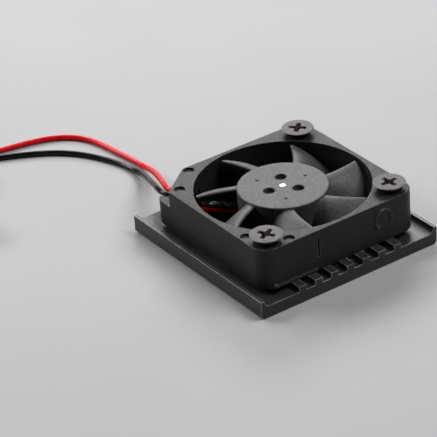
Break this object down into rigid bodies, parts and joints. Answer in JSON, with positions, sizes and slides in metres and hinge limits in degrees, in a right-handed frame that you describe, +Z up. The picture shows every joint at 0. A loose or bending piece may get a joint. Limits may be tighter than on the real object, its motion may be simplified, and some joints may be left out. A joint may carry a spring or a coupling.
{
  "type": "fan heat sink",
  "caption": "Small square axial fan with a two-wire lead, held by countersunk screws on a low finned aluminium heat sink that cools a chip on a circuit board.",
  "frame": {"origin": "centre of the heat sink's underside", "axes": "+Z up through the fan, along the rotor's axis; X across the fins; Y along the fins, with the lead leaving towards +Y"},
  "size_m": [0.0602, 0.0748, 0.0111],
  "materials": {
    "black_anodised": "black anodised extruded aluminium, satin, with bright worn edges",
    "frame_plastic": "black glass-filled PBT, fine moulded texture",
    "impeller_plastic": "black PBT, satin moulded",
    "black_oxide_steel": "black oxide steel, low sheen",
    "foil_label": "blank silver foil label",
    "sintered_bronze": "oiled sintered bronze",
    "black_rubber": "soft black rubber",
    "pale_nylon": "natural nylon",
    "lamination_steel": "stamped silicon steel laminations",
    "enamelled_copper": "enamelled copper wire",
    "board_laminate": "green solder mask on laminate",
    "chip_resin": "black moulding resin",
    "capacitor_ceramic": "brown ceramic with tinned ends",
    "solder": "bright tin solder",
    "plated_steel": "zinc plated deep-drawn steel",
    "bonded_magnet": "plastic bonded ferrite",
    "polished_steel": "ground and polished steel",
    "red_insulation": "red PVC insulation, soft gloss",
    "black_insulation": "black PVC insulation, soft gloss",
    "plug_nylon": "natural nylon housing",
    "tinned_brass": "tinned brass crimp terminals",
    "tie_plastic": "black plastic-coated twist tie"
  },
  "bodies": {
    "base": {"heat_sink": "black_anodised", "fan_frame": "frame_plastic", "fan_screws": "black_oxide_steel", "hub_label": "foil_label", "bearing_sleeve": "sintered_bronze", "oil_ring": "black_rubber", "thrust_washer": "pale_nylon", "stator_stack": "lamination_steel", "upper_insulator": "pale_nylon", "lower_insulator": "pale_nylon", "stator_coils": "enamelled_copper", "driver_board": "board_laminate", "driver_chip": "chip_resin", "filter_capacitor": "capacitor_ceramic", "solder_joints": "solder", "red_wire_inner": "red_insulation", "black_wire_inner": "black_insulation", "red_wire": "red_insulation", "black_wire": "black_insulation", "wire_coil": "red_insulation", "coil_tie": "tie_plastic", "plug_housing": "plug_nylon", "plug_terminals": "tinned_brass"},
    "rotor": {"impeller": "impeller_plastic", "rotor_yoke": "plated_steel", "rotor_magnet": "bonded_magnet", "rotor_shaft": "polished_steel", "shaft_clip": "polished_steel"}
  },
  "joints": [
    {"name": "rotor_spin", "type": "hinge", "parent": "base", "child": "rotor", "pos_m": [0, -0.0004, 0.009], "axis": [0, 0, 1], "continuous": true}
  ]
}
